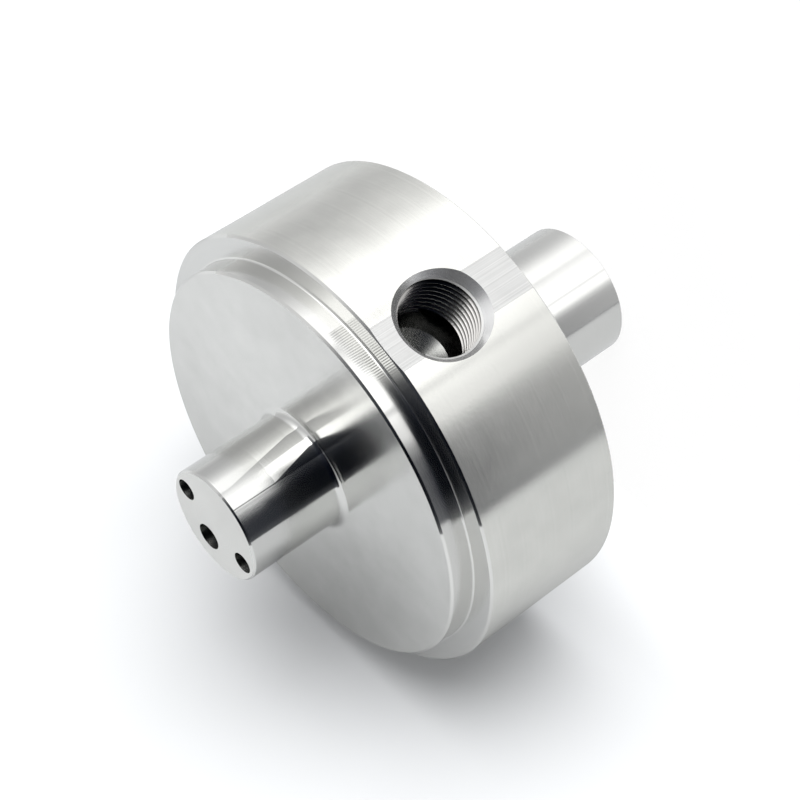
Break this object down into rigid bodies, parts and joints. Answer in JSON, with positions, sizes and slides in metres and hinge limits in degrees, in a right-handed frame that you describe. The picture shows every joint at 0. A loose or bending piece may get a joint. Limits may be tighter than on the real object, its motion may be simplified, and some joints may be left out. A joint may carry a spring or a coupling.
{
  "type": "non-return valve body",
  "caption": "Turned stainless steel valve body: a thick drum with a stepped spigot, a stub at each end, a threaded port in its side and passages inside.",
  "frame": {"origin": "centre of the rear stub's end face, on which the body stands", "axes": "+Z along the turning axis from the rear stub to the front stub, -Y out of the threaded port"},
  "size_m": [0.09, 0.0898, 0.0902],
  "materials": {
    "stainless_steel": "bright turned stainless steel, satin on the drum and polished on the spigot and stubs"
  },
  "bodies": {
    "root": {"valve_body": "stainless_steel"}
  },
  "joints": []
}
